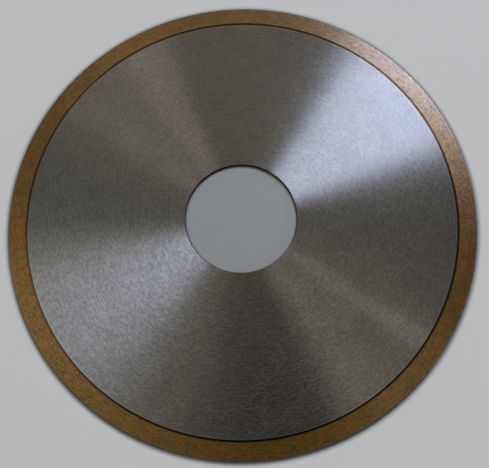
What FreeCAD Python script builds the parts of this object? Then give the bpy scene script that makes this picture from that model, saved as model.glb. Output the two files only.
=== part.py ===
import FreeCAD, Part
import math
import os

# Continuous-rim diamond saw blade, lying flat, with the bore axis on Z and the
# middle of its thickness at Z = 0. All sizes are in millimetres.

# The whole blade
blade_diameter = 250.0
bore_diameter = 60.0
core_thickness = 2.0

# The diamond rim, and how far each of its faces stands proud of the core
rim_height = 9.2
side_clearance = 0.2
rim_corner_bevel = 0.3
rim_foot_chamfer = 0.1

# The relief groove turned into each face of the core at the foot of the rim
groove_width = 0.8
groove_floor_width = 0.6
groove_depth = 0.25

# The thin tongue at the edge of the core, which the rim is sintered over
tongue_height = 2.5
tongue_thickness = 0.9

# The dovetail notches in the tongue, which the rim fills
notch_pitch = 15.4
notch_mouth_width = 4.5
notch_root_width = 6.5
notch_root_land = 0.5

# The lead at each end of the bore
bore_chamfer = 0.2

rim_outer_radius = blade_diameter / 2
rim_inner_radius = rim_outer_radius - rim_height
rim_thickness = core_thickness + 2 * side_clearance
tongue_radius = rim_inner_radius + tongue_height
notch_root_radius = rim_inner_radius + notch_root_land
notch_count = round(2 * math.pi * tongue_radius / notch_pitch)

axis_point = FreeCAD.Vector(0, 0, 0)
axis_direction = FreeCAD.Vector(0, 0, 1)


def turned(upper_points):
    """A solid of revolution, from the upper half of a section that mirrors in Z = 0."""
    lower_points = [(radius, -height) for radius, height in reversed(upper_points)]
    section = [FreeCAD.Vector(radius, 0, height) for radius, height in upper_points + lower_points]
    wire = Part.makePolygon(section + section[:1])
    return Part.Face(wire).revolve(axis_point, axis_direction, 360)


def core_blank():
    """The steel disc as it is turned: bore, relief grooves and tongue."""
    bore_radius = bore_diameter / 2
    face = core_thickness / 2
    groove_floor = face - groove_depth
    return turned([
        (bore_radius, face - bore_chamfer),
        (bore_radius + bore_chamfer, face),
        (rim_inner_radius - groove_width, face),
        (rim_inner_radius - groove_floor_width, groove_floor),
        (rim_inner_radius, groove_floor),
        (rim_inner_radius, tongue_thickness / 2),
        (tongue_radius, tongue_thickness / 2),
    ])


def notch_cutter():
    """One dovetail across the tongue, wider at its root than at its mouth."""
    clear_radius = tongue_radius + tongue_height
    half_mouth = notch_mouth_width / 2
    half_root = notch_root_width / 2
    below = -core_thickness / 2
    outline = [
        FreeCAD.Vector(notch_root_radius, -half_root, below),
        FreeCAD.Vector(tongue_radius, -half_mouth, below),
        FreeCAD.Vector(clear_radius, -half_mouth, below),
        FreeCAD.Vector(clear_radius, half_mouth, below),
        FreeCAD.Vector(tongue_radius, half_mouth, below),
        FreeCAD.Vector(notch_root_radius, half_root, below),
    ]
    wire = Part.makePolygon(outline + outline[:1])
    return Part.Face(wire).extrude(axis_direction * core_thickness)


def notch_cutters():
    """The dovetails all round the tongue."""
    cutters = []
    for index in range(notch_count):
        cutter = notch_cutter()
        cutter.rotate(axis_point, axis_direction, 360 * index / notch_count)
        cutters.append(cutter)
    return cutters


def make_core():
    """The hardened steel core, with its arbor bore and its notched edge."""
    return core_blank().cut(notch_cutters())


def make_rim(core):
    """The sintered diamond rim, formed over the core so that it fills the notches."""
    face = rim_thickness / 2
    ring = turned([
        (rim_inner_radius, face - rim_foot_chamfer),
        (rim_inner_radius + rim_foot_chamfer, face),
        (rim_outer_radius - rim_corner_bevel, face),
        (rim_outer_radius, face - rim_corner_bevel),
    ])
    return ring.cut(core)


def write_node(shape, node):
    """Writes one piece as a STEP file and reports its size."""
    shape.exportStep("parts/" + node + ".step")
    print(node, "solids", len(shape.Solids), "valid", shape.isValid(), "volume", round(shape.Volume, 1))


os.makedirs("parts", exist_ok=True)
steel_core = make_core()
diamond_rim = make_rim(steel_core)
write_node(steel_core, "steel_core")
write_node(diamond_rim, "diamond_rim")
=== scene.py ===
import math

import bmesh
import bpy
import numpy as np
from mathutils import Euler, Matrix, Vector, noise


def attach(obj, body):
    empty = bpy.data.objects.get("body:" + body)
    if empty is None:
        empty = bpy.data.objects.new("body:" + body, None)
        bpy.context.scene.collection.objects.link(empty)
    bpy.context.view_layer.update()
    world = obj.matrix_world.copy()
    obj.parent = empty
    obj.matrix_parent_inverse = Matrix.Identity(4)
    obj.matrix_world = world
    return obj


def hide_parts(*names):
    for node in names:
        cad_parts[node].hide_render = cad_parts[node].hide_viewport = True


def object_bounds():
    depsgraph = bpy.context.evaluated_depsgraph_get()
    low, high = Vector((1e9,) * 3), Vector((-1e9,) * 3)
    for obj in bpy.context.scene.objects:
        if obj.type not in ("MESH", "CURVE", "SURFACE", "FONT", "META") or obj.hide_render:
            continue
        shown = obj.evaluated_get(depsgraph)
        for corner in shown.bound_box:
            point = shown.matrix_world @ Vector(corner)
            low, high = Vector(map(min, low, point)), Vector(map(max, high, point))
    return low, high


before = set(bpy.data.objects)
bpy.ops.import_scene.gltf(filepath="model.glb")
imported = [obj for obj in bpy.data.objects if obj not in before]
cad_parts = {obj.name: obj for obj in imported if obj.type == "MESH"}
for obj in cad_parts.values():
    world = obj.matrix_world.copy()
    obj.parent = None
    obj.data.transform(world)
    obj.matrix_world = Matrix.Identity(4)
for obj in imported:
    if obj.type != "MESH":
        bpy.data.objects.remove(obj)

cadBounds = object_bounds()
millimetre = 0.001
quarterTurn = 0.25       # turns a metal's drawn-out shine across lines that run round the bore
print("frame loaded:", sorted(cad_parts))


# A socket that takes part in sums: each operator adds a Math node.
class Value:
    def __init__(self, paint, socket):
        self.paint = paint
        self.socket = socket

    def math(self, operation, *numbers):
        return self.paint.node("ShaderNodeMath", {"operation": operation}, dict(enumerate(numbers)))

    def __add__(self, other):
        return self.math("ADD", self, other)

    def __radd__(self, other):
        return self.math("ADD", other, self)

    def __sub__(self, other):
        return self.math("SUBTRACT", self, other)

    def __rsub__(self, other):
        return self.math("SUBTRACT", other, self)

    def __mul__(self, other):
        return self.math("MULTIPLY", self, other)

    def __rmul__(self, other):
        return self.math("MULTIPLY", other, self)

    def squareRoot(self):
        return self.math("SQRT", self)

    def largest(self, other):
        return self.math("MAXIMUM", self, other)

    # Another output of the same node
    def other(self, name):
        return Value(self.paint, self.socket.node.outputs[name])


# One material and its node tree, with the one way in which its nodes are made.
class Paint:
    def __init__(self, name):
        self.material = bpy.data.materials.new(name)
        self.material.use_nodes = True
        self.tree = self.material.node_tree
        self.tree.nodes.clear()

    # The settings come first, then each socket gets its number, colour or link.
    def node(self, kind, settings=None, sockets=None, out=0):
        made = self.tree.nodes.new(kind)
        for name, setting in (settings or {}).items():
            if name == "stops":
                self.setStops(made.color_ramp, setting)
            else:
                setattr(made, name, setting)
        for name, given in (sockets or {}).items():
            if isinstance(given, Value):
                self.tree.links.new(given.socket, made.inputs[name])
            else:
                made.inputs[name].default_value = given
        return Value(self, made.outputs[out]) if made.outputs else None

    def setStops(self, ramp, stops):
        while len(ramp.elements) < len(stops):
            ramp.elements.new(1.0)
        for element, (place, colour) in zip(ramp.elements, stops):
            element.position = place
            element.color = colour

    def noise(self, vector, scale=1.0, detail=2.0):
        sockets = {"Vector": vector, "Scale": scale, "Detail": detail}
        return self.node("ShaderNodeTexNoise", None, sockets, "Fac")

    # Goes smoothly from start to end as the value goes from low to high.
    def step(self, value, low, high, start=0.0, end=1.0):
        sockets = {"Value": value, "From Min": low, "From Max": high, "To Min": start, "To Max": end}
        return self.node("ShaderNodeMapRange", {"interpolation_type": "SMOOTHSTEP"}, sockets)

    # Noise with the same kind of step, which leaves soft-edged patches.
    def patches(self, place, scale, detail, low, high, start=0.0, end=1.0):
        return self.step(self.noise(place, scale, detail), low, high, start, end)

    # The Mix node's colour sockets share their names with others, so they go by number.
    def mixed(self, share, first, second):
        return self.node("ShaderNodeMix", {"data_type": "RGBA"}, {0: share, 6: first, 7: second}, 2)

    def scaled(self, colour, factor):
        sockets = {"Vector": colour, "Scale": factor}
        return self.node("ShaderNodeVectorMath", {"operation": "SCALE"}, sockets)

    # A relief of a depth in metres
    def bump(self, height, depth):
        return self.node("ShaderNodeBump", None, {"Height": height, "Strength": 1.0, "Distance": depth})

    def finish(self, surface):
        self.node("ShaderNodeOutputMaterial", None, {"Surface": surface})
        return self.material


# The place on the disc, and how far it is from the bore axis.
class Disc:
    def __init__(self, paint):
        self.paint = paint
        self.place = paint.node("ShaderNodeTexCoord", out="Object")
        self.x = paint.node("ShaderNodeSeparateXYZ", None, {"Vector": self.place}, "X")
        self.y = self.x.other("Y")
        self.radius = (self.x * self.x + self.y * self.y).squareRoot()

    # Marks drawn out round the bore axis, of a length and a width in millimetres
    def marks(self, length, width, detail=2.0, shift=0.0):
        along, across = 1 / (length * millimetre), 1 / (width * millimetre)
        sockets = {"X": self.x * along, "Y": self.y * along, "Z": self.radius * across + shift}
        return self.paint.noise(self.paint.node("ShaderNodeCombineXYZ", None, sockets), detail=detail)

    # 1 from one radius to another and 0 elsewhere, with ends that fade, all in millimetres
    def ring(self, inner, outer, fade):
        inner, outer, fade = inner * millimetre, outer * millimetre, fade * millimetre
        inside = self.paint.step(self.radius, inner - fade, inner + fade)
        return inside * self.paint.step(self.radius, outer - fade, outer + fade, 1.0, 0.0)


cameraView = {
    "lens": 54.9,                   # millimetres
    "sensorWidth": 36.0,
    "tilt": 14.553,                 # degrees back from straight down
    "lean": 1.497,                  # degrees to the side
    "distance": 0.3989,             # metres
    "shift": (0.00186, -0.00866),   # metres from the view's centre to the disc's centre
    "aimHeight": 0.001,             # the steel's upper face
}


def makeCamera():
    camera = bpy.data.objects.new("camera", bpy.data.cameras.new("camera"))
    bpy.context.scene.collection.objects.link(camera)
    camera.data.lens = cameraView["lens"]
    camera.data.sensor_width = cameraView["sensorWidth"]
    camera.data.sensor_fit = "HORIZONTAL"
    turn = Matrix.Rotation(math.radians(cameraView["tilt"]), 4, "X")
    turn = turn @ Matrix.Rotation(math.radians(cameraView["lean"]), 4, "Y")
    back = Matrix.Translation((*cameraView["shift"], cameraView["distance"]))
    camera.matrix_world = Matrix.Translation((0, 0, cameraView["aimHeight"])) @ turn @ back
    bpy.context.scene.camera = camera


# Soft boxes, all as far from the disc. Their angles are in degrees: round the disc from +X, up from the
# floor, and half the width and height that each fills as seen from the disc. The glow is how bright a
# box is, whatever its size.
studio = {
    "world": 0.005,                 # a little light from every side
    "distance": 1.0,                # metres
    "boxes": {
        "keyBox": {
            "round": 57.9, "up": 53.6, "wide": 8.5, "high": 2.5,
            "colour": (0.654, 0.734, 1.0), "glow": 17.8,
        },
        "backBox": {
            "round": 101.9, "up": 59.1, "wide": 12.3, "high": 8.6,
            "colour": (1.0, 0.886, 0.69), "glow": 0.51,
        },
        "backLeftBox": {
            "round": 144.5, "up": 66.6, "wide": 12.0, "high": 13.0,
            "colour": (1.0, 0.957, 0.777), "glow": 0.18,
        },
        "leftBox": {
            "round": 186.0, "up": 58.7, "wide": 14.9, "high": 25.0,
            "colour": (1.0, 0.891, 0.62), "glow": 0.265,
        },
        "overheadStrip": {
            "round": 12.9, "up": 76.4, "wide": 24.9, "high": 2.5,
            "colour": (1.0, 0.898, 0.717), "glow": 0.79,
        },
        "backStrip": {
            "round": 114.5, "up": 16.0, "wide": 5.0, "high": 2.5,
            "colour": (1.0, 0.853, 0.785), "glow": 6.54,
        },
        "rightLamp": {
            "round": -23.2, "up": 16.0, "wide": 2.5, "high": 2.5,
            "colour": (1.0, 0.856, 0.808), "glow": 21.2,
        },
    },
}


def makeSoftBox(name, box):
    light = bpy.data.lights.new(name, "AREA")
    light.shape = "RECTANGLE"
    light.size = 2 * studio["distance"] * math.tan(math.radians(box["wide"]))
    light.size_y = 2 * studio["distance"] * math.tan(math.radians(box["high"]))
    light.color = box["colour"]
    light.energy = box["glow"] * math.pi * light.size * light.size_y
    lamp = bpy.data.objects.new(name, light)
    bpy.context.scene.collection.objects.link(lamp)
    up, turn = math.radians(box["up"]), math.radians(box["round"])
    toLamp = Vector((math.cos(up) * math.cos(turn), math.cos(up) * math.sin(turn), math.sin(up)))
    lamp.location = toLamp * studio["distance"]
    lamp.rotation_mode = "QUATERNION"
    lamp.rotation_quaternion = toLamp.to_track_quat("Z", "Y")
    lamp.visible_camera = False


def makeStudio():
    world = bpy.data.worlds.new("studio")
    bpy.context.scene.world = world
    world.use_nodes = True
    background = world.node_tree.nodes["Background"]
    background.inputs["Color"].default_value = (1, 1, 1, 1)
    background.inputs["Strength"].default_value = studio["world"]
    for name, box in studio["boxes"].items():
        makeSoftBox(name, box)
    bpy.context.scene.view_settings.view_transform = "Standard"


turning = {
    "sharpAngle": 32,               # degrees, from which an edge stays sharp
    "fineLumpScale": 2.3,           # smaller lumps on the lumps
    "fineLumpShare": 0.5,
}


# Turns an outline of (radius, height, roughness) in millimetres about the bore axis. The rough points are
# moved in and out by lumps of a size.
def turnOutline(name, outline, turns, closed=True, lumpSize=1.0):
    points = np.array(outline, float)
    angles = np.arange(turns) * 2 * math.pi / turns
    verts = []
    for angle in angles:
        ray = (math.cos(angle), math.sin(angle))
        for radius, height, rough in points:
            if rough:
                spot = Vector((radius * ray[0], radius * ray[1], height)) / lumpSize
                fine = noise.noise(spot * turning["fineLumpScale"])
                radius += rough * (noise.noise(spot) + turning["fineLumpShare"] * fine)
            verts.append((radius * ray[0] * millimetre, radius * ray[1] * millimetre, height * millimetre))
    count = len(points)
    sides = count if closed else count - 1
    faces = []
    for turn in range(turns):
        here, there = turn * count, (turn + 1) % turns * count
        for side in range(sides):
            nextSide = (side + 1) % count
            faces.append((here + side, there + side, there + nextSide, here + nextSide))
    mesh = bpy.data.meshes.new(name)
    mesh.from_pydata(verts, [], faces)
    mesh.shade_smooth()
    mesh.set_sharp_from_angle(angle=math.radians(turning["sharpAngle"]))
    piece = bpy.data.objects.new(name, mesh)
    bpy.context.scene.collection.objects.link(piece)
    return piece


# Gives each side of a turned outline the number of its finish.
def setFinishes(piece, finishes):
    turns = len(piece.data.polygons) // len(finishes)
    piece.data.polygons.foreach_set("material_index", finishes * turns)


# The outline's upper half, from the bore side outwards, mirrored below the middle of the disc
def bothHalves(upper):
    return upper + [(radius, -height, rough) for radius, height, rough in reversed(upper)]


backdrop = {
    "flatRadius": 2100.0,           # millimetres, as all its sizes
    "bend": 500.0,
    "bendSteps": 8,
    "topHeight": 1500.0,
    "turns": 96,
    "colour": (0.82, 0.90, 0.92),
    "fibres": {"scale": 60.0, "detail": 3.0, "low": 0.2, "high": 0.8, "start": 0.97, "end": 1.0},
    "shownColour": (1.0, 1.0, 1.0, 1),
    "shownShare": 0.40,             # how much the camera, metal and glass see the plain shown colour
    "shadedShare": 0.10,            # and how much through the bore, less, a painted shade under the blade
    "boreContact": (28.8, 29.8),    # close to the blade the share falls to nothing, a painted contact shade in which its real shadow also shows
    "rimContact": (125.2, 128.5),
    "paleRadius": 400.0,            # out to here it is at its palest
    "dimRadius": 1500.0,            # and from here on it is painted darker, a painted fall-off of light
    "dimShare": 0.3,
}


def makeBackdrop():
    level = cadBounds[0][2] / millimetre
    flat, bend = backdrop["flatRadius"], backdrop["bend"]
    outline = [(0.0, level, 0), (flat, level, 0)]
    for step in range(1, backdrop["bendSteps"] + 1):
        angle = math.radians(90 * step / backdrop["bendSteps"])
        outline.append((flat + bend * math.sin(angle), level + bend * (1 - math.cos(angle)), 0))
    outline.append((flat + bend, backdrop["topHeight"], 0))
    stage = turnOutline("backdrop", outline, backdrop["turns"], closed=False)
    joined = bmesh.new()    # joins the points in the middle, where every turn has one
    joined.from_mesh(stage.data)
    bmesh.ops.remove_doubles(joined, verts=joined.verts, dist=millimetre)
    joined.to_mesh(stage.data)
    joined.free()
    finishBackdrop(stage)


def finishBackdrop(stage):
    paint = Paint("palePaper")
    disc = Disc(paint)
    near, far = backdrop["paleRadius"] * millimetre, backdrop["dimRadius"] * millimetre
    # Far out the paper is painted darker, a painted fall-off of light
    paintedFalloff = paint.step(disc.radius, near, far, 1.0, backdrop["dimShare"])
    fibres = paint.patches(disc.place, **backdrop["fibres"])
    colour = paint.scaled(backdrop["colour"], fibres * paintedFalloff)
    matte = paint.node("ShaderNodeBsdfDiffuse", None, {"Color": colour})
    shown = paint.node("ShaderNodeEmission", None, {"Color": backdrop["shownColour"], "Strength": 1.0})
    path = paint.node("ShaderNodeLightPath")
    seen = path.other("Is Camera Ray").largest(path.other("Is Glossy Ray"))
    seen = seen.largest(path.other("Is Transmission Ray"))
    boreContact = [radius * millimetre for radius in backdrop["boreContact"]]
    rimContact = [radius * millimetre for radius in backdrop["rimContact"]]
    # Painted shade: less glow through the bore, and none close to the blade
    share = paint.step(disc.radius, *boreContact, backdrop["shadedShare"], 0.0)
    share = share + paint.step(disc.radius, *rimContact, 0.0, backdrop["shownShare"])
    both = paint.node("ShaderNodeMixShader", None, {0: seen * paintedFalloff * share, 1: matte, 2: shown})
    stage.data.materials.append(paint.finish(both))


corePiece = {
    "boreRadius": 30.0,             # millimetres, as all its sizes unless it says otherwise
    "boreBevel": 0.2,
    "face": 1.0,                    # above the middle of the disc
    "grooveStart": 115.0,
    "grooveFloorStart": 115.2,
    "grooveFloor": 0.75,            # above the middle of the disc
    "buriedEdge": 116.4,            # inside the rim, where nothing shows
    "turns": 720,
    "steel": (0.64, 0.64, 0.65, 1),
    "markedSteel": (0.405, 0.403, 0.40, 1),
    "dashes": {"length": 2.0, "width": 0.75, "detail": 1.0},
    "hairlines": {"length": 6.0, "width": 0.35, "shift": 40.0},
    "dashShare": 0.6,
    "markRange": (0.36, 0.64),
    "cloud": {"scale": 70.0, "detail": 3.0, "low": 0.3, "high": 0.7, "start": 0.95, "end": 1.05},
    "burnishAndHighlightStart": 114.2,          # a brighter line beside the groove, partly burnished by the turning tool and partly a painted highlight
    "burnishAndHighlightFade": 0.05,
    "burnishAndHighlight": (0.68, 0.655, 0.63, 1),
    "dirtAndShadeStart": 114.7,             # old grinding sludge and painted shade in the groove and along its edge
    "dirtAndShadeFade": 0.1,
    "darkDirtAndShade": (0.035, 0.03, 0.026, 1),
    "paleDirtAndLight": (0.20, 0.18, 0.16, 1),
    "litSide": (-0.5, 0.87),      # towards the side where the groove is painted paler, as if lit there
    "litSideReach": 0.09,             # metres each way from the bore axis, over which it gets there
    "smearStart": 115.2,            # from here out, bond is smeared into the groove, most on the side painted as lit
    "leastSmearOnShadedSide": 0.25,
    "bronzeSmear": (0.32, 0.19, 0.07, 1),
    "roughness": 0.31,
    "roughnessSpread": 0.06,
    "anisotropy": 1.0,
    "scratchDepth": 0.00003,        # metres
    # The bore's wall and bevels: near black, a painted shade for the dark that the wall reflects
    "boreShade": (0.012, 0.009, 0.007, 1),
    "paleBoreShade": (0.030, 0.018, 0.013, 1),
    "boreShadePatches": {"scale": 900.0, "detail": 2.0, "low": 0.4, "high": 0.65},
    "boreWallRoughness": 0.8,
    "boreWallGloss": 0.15,
}


def makeCore():
    core = corePiece
    piece = turnOutline("groundSteelCore", bothHalves([
        (core["boreRadius"], core["face"] - core["boreBevel"], 0),
        (core["boreRadius"] + core["boreBevel"], core["face"], 0),
        (core["grooveStart"], core["face"], 0),
        (core["grooveFloorStart"], core["grooveFloor"], 0),
        (core["buriedEdge"], core["grooveFloor"], 0),
    ]), core["turns"])
    piece.data.materials.append(makeGroundSteel())
    piece.data.materials.append(makeShadedBoreSteel())
    setFinishes(piece, [1, 0, 0, 0, 0, 0, 0, 0, 1, 1])    # the bore's wall and bevels are painted near black, a painted shade
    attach(piece, "root")
    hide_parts("steel_core")


def makeGroundSteel():
    core = corePiece
    paint = Paint("groundSteel")
    disc = Disc(paint)
    dashShare = core["dashShare"]
    scratches = disc.marks(**core["dashes"]) * dashShare + disc.marks(**core["hairlines"]) * (1 - dashShare)
    marks = paint.step(scratches, *core["markRange"])
    colour = paint.mixed(marks, core["markedSteel"], core["steel"])
    colour = paint.scaled(colour, paint.patches(disc.place, **core["cloud"]))
    beyond = core["buriedEdge"] + 1    # millimetres, where no steel is left
    # The brighter line beside the groove, partly burnished and partly a painted highlight, then the dirt
    # with painted shade and the smeared bond in it
    # Partly a painted highlight: a paler ring of steel beside the groove
    burnishAndHighlightRing = disc.ring(core["burnishAndHighlightStart"], beyond, core["burnishAndHighlightFade"])
    colour = paint.mixed(burnishAndHighlightRing, colour, core["burnishAndHighlight"])
    # Painted shade: the groove is painted dark, and paler towards one side as if lit there
    litX, litY = core["litSide"]
    litSideShare = paint.step(disc.x * litX + disc.y * litY, -core["litSideReach"], core["litSideReach"])
    grooveDirtAndShade = paint.mixed(litSideShare, core["darkDirtAndShade"], core["paleDirtAndLight"])
    # The smeared bond is thickest on the side painted as lit
    smear = disc.ring(core["smearStart"], beyond, core["dirtAndShadeFade"])
    smear = smear * (core["leastSmearOnShadedSide"] + litSideShare * (1 - core["leastSmearOnShadedSide"]))
    grooveDirtAndShade = paint.mixed(smear, grooveDirtAndShade, core["bronzeSmear"])
    colour = paint.mixed(disc.ring(core["dirtAndShadeStart"], beyond, core["dirtAndShadeFade"]), colour, grooveDirtAndShade)
    shader = paint.node("ShaderNodeBsdfPrincipled", None, {
        "Base Color": colour,
        "Metallic": 1.0,
        "Roughness": core["roughness"] + (marks - 0.5) * core["roughnessSpread"],
        "Anisotropic": core["anisotropy"],
        "Anisotropic Rotation": quarterTurn,
        "Normal": paint.bump(scratches, core["scratchDepth"]),
    })
    return paint.finish(shader)


def makeShadedBoreSteel():
    core = corePiece
    paint = Paint("shadedBoreSteel")
    # Near black with soft patches: a painted shade on the bore's wall and bevels
    place = paint.node("ShaderNodeTexCoord", out="Object")
    patches = paint.patches(place, **core["boreShadePatches"])
    return paint.finish(paint.node("ShaderNodeBsdfPrincipled", None, {
        "Base Color": paint.mixed(patches, core["boreShade"], core["paleBoreShade"]),
        "Roughness": core["boreWallRoughness"],
        "Specular IOR Level": core["boreWallGloss"],
    }))


rimPiece = {
    "footRadius": 115.8,            # millimetres, as all its sizes unless it says otherwise
    "outerRadius": 125.0,
    "face": 1.2,                    # above the middle of the disc
    "footBevel": 0.1,
    "cornerRound": 0.35,
    "cornerSteps": 6,
    "cornerMargin": 0.25,           # how far the last line of points on the face lies from the corner
    "edgeLine": 0.4,                # a line of points round the edge, this far up to the corner
    "ragged": 0.2,                  # how far its worn edge goes in and out
    "lumpSize": 1.5,
    "turns": 2400,
    "oliveBronze": (0.39, 0.30, 0.045, 1),
    "bronze": (0.44, 0.285, 0.035, 1),
    "orangeBronze": (0.48, 0.275, 0.03, 1),
    "bronzeStops": (0.36, 0.5, 0.64),
    "cloud": {"scale": 170.0, "detail": 3.0},
    "grain": {"scale": 1500.0, "detail": 2.0},
    "dashes": {"length": 3.0, "width": 0.8, "shift": 12.0},
    "cloudShare": 0.15,             # the three shares of its light and dark tone
    "grainShare": 0.4,
    "dashShare": 0.45,
    "toneRange": (0.37, 0.63),
    "toneShade": (0.55, 1.45),
    "pores": {"scale": 1100.0, "detail": 1.0, "low": 0.60, "high": 0.68},
    "pore": (0.10, 0.055, 0.02, 1),
    "poreShare": 0.55,
    "specks": {"scale": 1500.0, "detail": 1.0, "low": 0.34, "high": 0.26},    # where its noise is low
    "paleSpeck": (0.62, 0.54, 0.36, 1),
    "speckShare": 0.8,
    "bond": {"scale": 4200.0, "detail": 2.0, "low": 0.35, "high": 0.65, "start": 0.23, "end": 0.30},
    "copperBond": (0.58, 0.11, 0.015, 1),    # dull, and about a quarter of what shows
    "stainWidth": 0.3,              # reddish oxide along the rim's foot
    "stainFade": 0.2,
    "stain": (0.22, 0.09, 0.035, 1),
    "stainShare": 0.4,
    "dressedBand": (124.1, 124.8),  # rubbed pale beside the worn edge
    "dressedFade": 0.25,
    "dressed": (0.40, 0.37, 0.29, 1),
    "dressedShare": 0.4,
    # painted shade: the outer edge and its rounded corner, painted dark as if in shadow
    "edge": (0.05, 0.046, 0.040, 1),
    "edgeFade": 0.1,
    "roughness": 0.36,
    "roughnessSpread": 0.12,
    "anisotropy": 0.886,
    "oil": {"scale": 1300.0, "detail": 1.0, "low": 0.38, "high": 0.62, "start": 0.55, "end": 1.0},
    "oilLostInPores": 0.6,
    "oilRoughness": 0.22,
    "oilIor": 1.88,
    "grainRelief": 0.7,
    "dashRelief": 0.25,
    "poreRelief": 0.5,
    "reliefDepth": 0.0001,          # metres
}


def rimOutline():
    rim = rimPiece
    bend = rim["cornerRound"]
    centre = (rim["outerRadius"] - bend, rim["face"] - bend)
    upper = [
        (rim["footRadius"], rim["face"] - rim["footBevel"], 0),
        (rim["footRadius"] + rim["footBevel"], rim["face"], 0),
        (centre[0] - rim["cornerMargin"], rim["face"], 0),
    ]
    steps = rim["cornerSteps"]
    for step in range(steps + 1):
        angle = math.radians(90 - 90 / steps * step)
        rough = rim["ragged"] * step / steps
        upper.append((centre[0] + bend * math.cos(angle), centre[1] + bend * math.sin(angle), rough))
    upper.append((rim["outerRadius"], centre[1] * rim["edgeLine"], rim["ragged"]))
    return bothHalves(upper)


def makeRim():
    piece = turnOutline("sinteredRim", rimOutline(), rimPiece["turns"], lumpSize=rimPiece["lumpSize"])
    piece.data.materials.append(makeSinteredBronze())
    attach(piece, "root")
    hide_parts("diamond_rim")


def makeSinteredBronze():
    rim = rimPiece
    paint = Paint("sinteredBronze")
    disc = Disc(paint)
    cloud = paint.noise(disc.place, **rim["cloud"])
    grain = paint.noise(disc.place, **rim["grain"])
    dashes = disc.marks(**rim["dashes"])
    tone = dashes * rim["dashShare"] + grain * rim["grainShare"] + cloud * rim["cloudShare"]
    # The bronze, from olive to orange, and lighter or darker
    stops = list(zip(rim["bronzeStops"], (rim["oliveBronze"], rim["bronze"], rim["orangeBronze"])))
    colour = paint.node("ShaderNodeValToRGB", {"stops": stops}, {"Fac": cloud})
    colour = paint.scaled(colour, paint.step(tone, *rim["toneRange"], *rim["toneShade"]))
    # Pores, pale specks of grit and the dull copper in the bond
    pores = paint.patches(disc.place, **rim["pores"])
    colour = paint.mixed(pores * rim["poreShare"], colour, rim["pore"])
    specks = paint.patches(disc.place, **rim["specks"])
    colour = paint.mixed(specks * rim["speckShare"], colour, rim["paleSpeck"])
    bond = paint.patches(disc.place, **rim["bond"])
    colour = paint.mixed(bond, colour, rim["copperBond"])
    # The stained foot, the dressed band, and the outer edge painted dark as shade
    stain = disc.ring(0, rim["footRadius"] + rim["stainWidth"], rim["stainFade"])
    colour = paint.mixed(stain * rim["stainShare"], colour, rim["stain"])
    dressed = disc.ring(*rim["dressedBand"], rim["dressedFade"])
    colour = paint.mixed(dressed * rim["dressedShare"], colour, rim["dressed"])
    beyond = rim["outerRadius"] + 1    # millimetres, where no rim is left
    edge = disc.ring(rim["dressedBand"][1], beyond, rim["edgeFade"])
    colour = paint.mixed(edge, colour, rim["edge"])
    oil = paint.patches(disc.place, **rim["oil"]) * (1.0 - pores * rim["oilLostInPores"])
    relief = grain * rim["grainRelief"] + dashes * rim["dashRelief"] - pores * rim["poreRelief"]
    return paint.finish(paint.node("ShaderNodeBsdfPrincipled", None, {
        "Base Color": colour,
        "Metallic": 1.0 - bond,
        "Roughness": rim["roughness"] + (grain - 0.5) * rim["roughnessSpread"],
        "Anisotropic": rim["anisotropy"],
        "Anisotropic Rotation": quarterTurn,
        "Coat Weight": oil,
        "Coat Roughness": rim["oilRoughness"],
        "Coat IOR": rim["oilIor"],
        "Normal": paint.bump(relief, rim["reliefDepth"]),
    }))


gritPiece = {
    "onEdge": 1900,
    "onEachFace": 500,
    "size": (0.13, 0.21),           # millimetres from the middle of a crystal to its points
    "shapeSpread": (0.75, 1.0),     # the shares of that size that its points reach
    "sunkInEdge": 0.35,             # shares of its size by which its middle lies under the worn edge
    "sunkInFace": 0.75,             # and under a face
    "edgeMargin": 0.15,             # millimetres between the crystals on the edge and the faces' planes
    "footMargin": 0.5,              # and between those in the faces and the foot
    "cornerMargin": 0.8,            # and between those and the edge
    "seed": 7,
    "crystal": (0.50, 0.46, 0.28, 1),
    "paleCrystal": (0.66, 0.64, 0.50, 1),
    "paleness": {"scale": 900.0, "detail": 1.0, "low": 0.4, "high": 0.6},
    "roughness": 0.3,
    "ior": 2.4,
}


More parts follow.
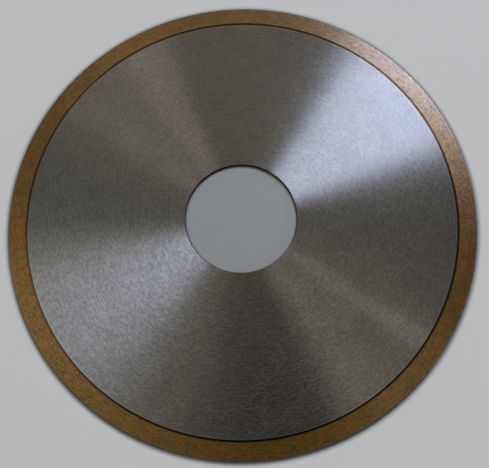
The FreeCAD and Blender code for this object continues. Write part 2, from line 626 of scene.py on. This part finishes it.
# A crystal's middle: on the worn edge, or flush in a face
def gritPlace(dice, onEdge, size):
    rim, grit = rimPiece, gritPiece
    turn = dice.uniform(0, 2 * math.pi)
    if onEdge:
        bend = rim["cornerRound"]
        height = dice.uniform(-1, 1) * (rim["face"] - grit["edgeMargin"])
        past = max(0.0, abs(height) - (rim["face"] - bend))
        surface = rim["outerRadius"] - bend + math.sqrt(bend * bend - past * past)
        radius = surface - size * grit["sunkInEdge"]
    else:
        innermost = rim["footRadius"] + grit["footMargin"]
        outermost = rim["outerRadius"] - grit["cornerMargin"]
        radius = dice.uniform(innermost, outermost)
        height = dice.choice((-1, 1)) * (rim["face"] - size * grit["sunkInFace"])
    return Vector((radius * math.cos(turn), radius * math.sin(turn), height))


def makeGrit():
    dice = np.random.default_rng(gritPiece["seed"])
    # Each crystal is an octahedron, a little uneven and turned at random.
    points = [(1, 0, 0), (0, 1, 0), (-1, 0, 0), (0, -1, 0), (0, 0, 1), (0, 0, -1)]
    sides = [(0, 1, 4), (1, 2, 4), (2, 3, 4), (3, 0, 4), (1, 0, 5), (2, 1, 5), (3, 2, 5), (0, 3, 5)]
    verts, faces = [], []
    kinds = [True] * gritPiece["onEdge"] + [False] * (2 * gritPiece["onEachFace"])
    for onEdge in kinds:
        size = dice.uniform(*gritPiece["size"])
        middle = gritPlace(dice, onEdge, size)
        turn = Euler(dice.uniform(0, 2 * math.pi, 3)).to_matrix()
        first = len(verts)
        for point in points:
            tip = turn @ Vector(point) * size * dice.uniform(*gritPiece["shapeSpread"])
            verts.append((middle + tip) * millimetre)
        faces += [tuple(first + corner for corner in side) for side in sides]
    mesh = bpy.data.meshes.new("diamondGrit")
    mesh.from_pydata(verts, [], faces)
    piece = bpy.data.objects.new("diamondGrit", mesh)
    bpy.context.scene.collection.objects.link(piece)
    mesh.materials.append(makeDiamond())
    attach(piece, "root")


def makeDiamond():
    paint = Paint("syntheticDiamond")
    place = paint.node("ShaderNodeTexCoord", out="Object")
    paleness = paint.patches(place, **gritPiece["paleness"])
    colour = paint.mixed(paleness, gritPiece["crystal"], gritPiece["paleCrystal"])
    return paint.finish(paint.node("ShaderNodeBsdfPrincipled", None, {
        "Base Color": colour,
        "Roughness": gritPiece["roughness"],
        "IOR": gritPiece["ior"],
    }))


makeCamera()
makeStudio()
makeBackdrop()
print("camera, studio and backdrop made")
makeCore()
print("steel core made")
makeRim()
print("sintered rim made")
makeGrit()
print("diamond grit made")
